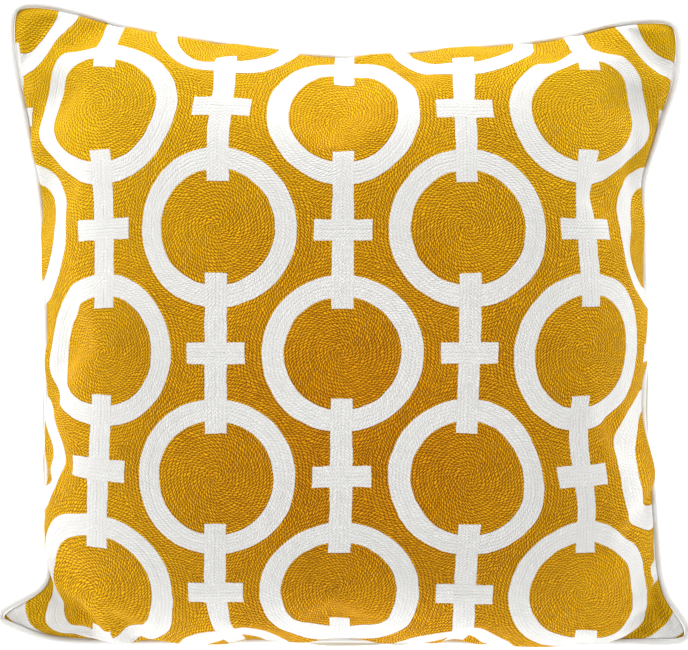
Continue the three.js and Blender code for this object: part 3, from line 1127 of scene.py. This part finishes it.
def embroidery_material():
    material, tree, shader = new_material("chain_stitch_face")
    place = attribute_place(tree, "flat_mm")
    x, y = parts_of(place)
    uneven_x = (noise(place, EDGE_WOBBLE_OVER) - 0.5) * EDGE_WOBBLE
    uneven_y = (noise(join(y, x), EDGE_WOBBLE_OVER) - 0.5) * EDGE_WOBBLE
    hand_worked = join(x + uneven_x, y + uneven_y)
    lattice = use_group(tree, ring_lattice, Place=hand_worked)
    row = lattice["Row"] + (noise(place, ROW_WOBBLE_OVER) - 0.5) * ROW_WOBBLE
    along = lattice["Along"] + (noise(join(y, x), STITCH_WOBBLE_OVER) - 0.5) * STITCH_WOBBLE
    stitch = use_group(tree, chain_stitch, Row=row, Along=along)

    patchy = noise(place, PATCHES_OVER)
    shade = stitch["Light"] * (0.7 + stitch["Chance"] * 0.4) + (patchy - 0.5) * PATCHES
    # painted light towards the edges: the yellow turns lighter and yellower, and the shade between its
    # stitches lighter
    from_middle = length_of(x - EDGE_LIGHT_MIDDLE[0], y - EDGE_LIGHT_MIDDLE[1])
    painted_edge_light = (from_middle - EDGE_LIGHT_FROM) / (EDGE_LIGHT_TO - EDGE_LIGHT_FROM)
    yarn = mix_colour(tree, painted_edge_light, YELLOW, YELLOW_PAINTED_LIT)
    yellow = mix_colour(tree, shade + painted_edge_light * EDGE_LIGHT_LIFT, YELLOW_DEEP, yarn)
    # painted shade: the white turns a little darker towards the edges
    white_yarn = mix_colour(tree, painted_edge_light, WHITE, WHITE_PAINTED_DARKER)
    white = mix_colour(tree, shade, WHITE_DEEP, white_yarn)
    colour = mix_colour(tree, lattice["White"], yellow, white)
    tree.links.new(colour.socket, shader.inputs["Base Color"])

    rough = ROUGH - stitch["Light"] * WORN_SMOOTHER
    tree.links.new(rough.socket, shader.inputs["Roughness"])
    shader.inputs["Sheen Weight"].default_value = 0.04
    shader.inputs["Sheen Roughness"].default_value = 0.5
    shader.inputs["Specular IOR Level"].default_value = 0.06
    relief = 1 - lattice["White"] * (1 - WHITE_RELIEF)
    height = (stitch["Height"] - lattice["Groove"] * GROOVE_DEPTH) * relief
    add_bump(tree, shader, height, STITCH_DEPTH)
    return material


embroidery = embroidery_material()
print("nodes in the embroidery material:", len(embroidery.node_tree.nodes))

# %% [markdown]
# ## The cotton of the back and the piping
# The back of such a cushion is hardly seen, so it is cut from plain unbleached
# cotton. The piping is a bleached strip of a finer one, and its threads run at
# 45 degrees because the strip is cut on the bias. Both come from one function
# with other values.

# %% The plain cotton of the back and the piping
# each pair: the threads' own colour, and the painted shade deep between them
BLEACHED = ((0.95, 0.945, 0.93), (0.82, 0.81, 0.78))
UNBLEACHED = ((0.6, 0.545, 0.43), (0.42, 0.37, 0.27))
WEAVE_DEPTH = 0.22 * MM
COTTON_PATCHES, COTTON_PATCHES_OVER = 0.4, 30.0


def cotton_material(name, attribute, threads_per_mm, on_the_bias, colours):
    """Plain woven cotton, drawn from the places in the named attribute."""
    material, tree, shader = new_material(name)
    place = attribute_place(tree, attribute)
    if on_the_bias:
        x, y = parts_of(place)
        place = join((x + y) * math.sqrt(0.5), (y - x) * math.sqrt(0.5))
    weave = use_group(tree, plain_weave, Place=place, Threads_per_mm=threads_per_mm)
    # painted shade: the darker colour of the pair goes where the weave lies low between the threads
    shade = weave["Light"] * 0.7 + noise(place, COTTON_PATCHES_OVER) * COTTON_PATCHES
    colour = mix_colour(tree, shade, colours[1], colours[0])
    tree.links.new(colour.socket, shader.inputs["Base Color"])
    rough = ROUGH - weave["Light"] * WORN_SMOOTHER
    tree.links.new(rough.socket, shader.inputs["Roughness"])
    shader.inputs["Sheen Weight"].default_value = 0.15
    shader.inputs["Specular IOR Level"].default_value = 0.3
    add_bump(tree, shader, weave["Height"], WEAVE_DEPTH)
    return material


back_cotton = cotton_material("plain_back", "flat_mm", 1.5, False, UNBLEACHED)
piping_cotton = cotton_material("piping_strip", "strip_mm", 1.8, True, BLEACHED)
cover.data.materials.append(embroidery)
cover.data.materials.append(back_cotton)
piping.data.materials.append(piping_cotton)

# %% [markdown]
# ## Floor and light
# The floor is a plain pale studio floor. In the photograph the cloth is lighter
# wherever it slopes down towards an edge, and lightest along the top and at the
# top left. So wide soft lamps stand low all round the cushion, the strongest at
# its top edge, and a pale sky fills the rest. Low lamps also bring out the relief
# of the stitches.

# %% Lay the floor
FLOOR_SIZE = 8.0
FLOOR_BELOW = 0.5 * MM
FLOOR_GLOW = 0.5

floor_mesh = bpy.data.meshes.new("floor")
reach = FLOOR_SIZE / 2
floor_corners = [(-reach, -reach, 0), (reach, -reach, 0), (reach, reach, 0), (-reach, reach, 0)]
floor_mesh.from_pydata(floor_corners, [], [(0, 1, 2, 3)])
floor = bpy.data.objects.new("floor", floor_mesh)
floor.location.z = -FLOOR_BELOW
scene.collection.objects.link(floor)
floor_material, _, floor_shader = new_material("studio_floor")
floor_shader.inputs["Base Color"].default_value = (0.93, 0.93, 0.93, 1)
floor_shader.inputs["Roughness"].default_value = 0.9
floor_shader.inputs["Emission Color"].default_value = (1, 1, 1, 1)
floor_shader.inputs["Emission Strength"].default_value = FLOOR_GLOW
floor_mesh.materials.append(floor_material)

# %% Light the studio
# places and sizes in metres, powers in watts; every lamp aims at AIM
AIM = (0, 0, 0.08)
SKY = 0.34


def soft_lamp(name, place, size, power):
    lamp = bpy.data.objects.new(name, bpy.data.lights.new(name, "AREA"))
    lamp.data.shape = "RECTANGLE"
    lamp.data.size, lamp.data.size_y = size
    lamp.data.energy = power
    lamp.location = place
    direction = lamp.location.copy()
    direction.x, direction.y, direction.z = (AIM[i] - place[i] for i in range(3))
    lamp.rotation_euler = direction.to_track_quat("-Z", "Y").to_euler()
    scene.collection.objects.link(lamp)


soft_lamp("lamp_top_edge", (0, 2.1, 0.75), (2.4, 1.0), 48)
soft_lamp("lamp_bottom_edge", (0, -2.1, 0.7), (2.4, 1.0), 35)
soft_lamp("lamp_left", (-2.1, 0.2, 0.7), (2.4, 1.0), 30)
soft_lamp("lamp_right", (2.1, 0.2, 0.7), (2.4, 1.0), 24)
soft_lamp("lamp_top_left", (-1.5, 1.5, 0.8), (2.0, 1.0), 10)

world = bpy.data.worlds.new("studio")
scene.world = world
world.use_nodes = True
world.node_tree.nodes["Background"].inputs[0].default_value = (1, 1, 1, 1)
world.node_tree.nodes["Background"].inputs[1].default_value = SKY
scene.view_settings.view_transform = "Standard"

# %% [markdown]
# ## Put it on the frame
# The two pieces take the places of the two solids and ride on the same body.

# %% Ride and finish
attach(cover, "root")
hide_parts("filled_cover")
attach(piping, "root")
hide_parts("piping")
